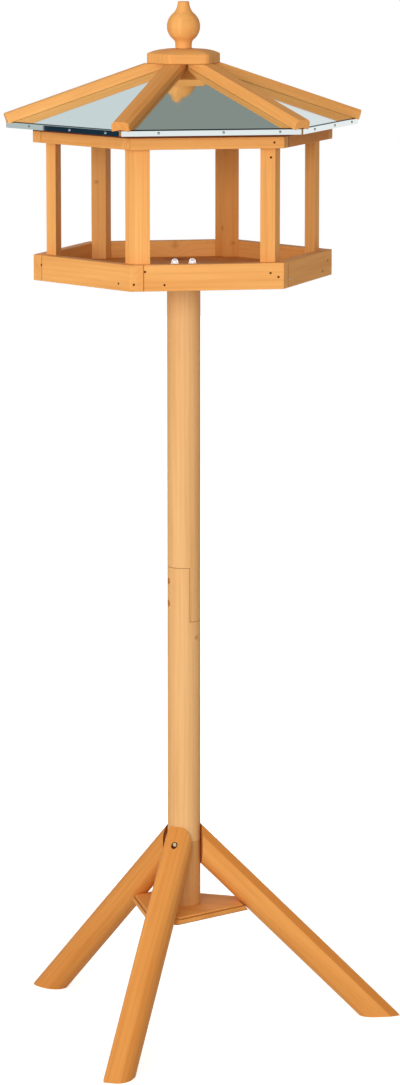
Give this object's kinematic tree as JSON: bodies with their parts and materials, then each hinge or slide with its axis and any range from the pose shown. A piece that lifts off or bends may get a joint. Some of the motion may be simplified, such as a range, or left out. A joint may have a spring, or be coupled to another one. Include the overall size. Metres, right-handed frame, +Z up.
{
  "type": "bird table",
  "caption": "Free-standing wooden bird table: hexagonal open feeding house with a sheet-metal roof, battens and turned finial, on a round lap-jointed post with a three-legged stand.",
  "frame": {"origin": "on the ground under the middle of the table's own outline; the post's axis stands 30.8 mm towards -X and 5.3 mm towards +Y of it, because the legs are turned against the house", "axes": "+Z up along the post; the flat front side of the house faces -Y"},
  "size_m": [0.5456, 0.5296, 1.407],
  "materials": {
    "house_wood": "honey-coloured stained pine, satin",
    "post_wood": "paler stained round pole, satin",
    "leg_wood": "stained pine with rounded edges, satin",
    "raw_wood": "unstained boards under the metal",
    "roof_sheet": "bright galvanised sheet, mirror-like",
    "steel": "zinc-plated screws and nuts"
  },
  "bodies": {
    "root": {"finial": "house_wood", "roof_cap": "house_wood", "roof_batten_1": "house_wood", "roof_batten_2": "house_wood", "roof_batten_3": "house_wood", "roof_batten_4": "house_wood", "roof_batten_5": "house_wood", "roof_batten_6": "house_wood", "roof_sheet_1": "roof_sheet", "roof_sheet_2": "roof_sheet", "roof_sheet_3": "roof_sheet", "roof_sheet_4": "roof_sheet", "roof_sheet_5": "roof_sheet", "roof_sheet_6": "roof_sheet", "roof_board_1": "raw_wood", "roof_board_2": "raw_wood", "roof_board_3": "raw_wood", "roof_board_4": "raw_wood", "roof_board_5": "raw_wood", "roof_board_6": "raw_wood", "ring_rail_1": "house_wood", "ring_rail_2": "house_wood", "ring_rail_3": "house_wood", "ring_rail_4": "house_wood", "ring_rail_5": "house_wood", "ring_rail_6": "house_wood", "upright_1": "house_wood", "upright_2": "house_wood", "upright_3": "house_wood", "upright_4": "house_wood", "upright_5": "house_wood", "upright_6": "house_wood", "tray_side_1": "house_wood", "tray_side_2": "house_wood", "tray_side_3": "house_wood", "tray_side_4": "house_wood", "tray_side_5": "house_wood", "tray_side_6": "house_wood", "tray_floor": "house_wood", "hanger_bolt_1": "steel", "nut_washer_1": "steel", "cap_nut_1": "steel", "hanger_bolt_2": "steel", "nut_washer_2": "steel", "cap_nut_2": "steel", "post_upper": "post_wood", "post_lower": "post_wood", "lap_screw_1": "steel", "lap_screw_2": "steel", "base_plate": "leg_wood", "plate_screw": "steel", "leg_1": "leg_wood", "leg_screw_1": "steel", "leg_2": "leg_wood", "leg_screw_2": "steel", "leg_3": "leg_wood", "leg_screw_3": "steel"}
  },
  "joints": []
}
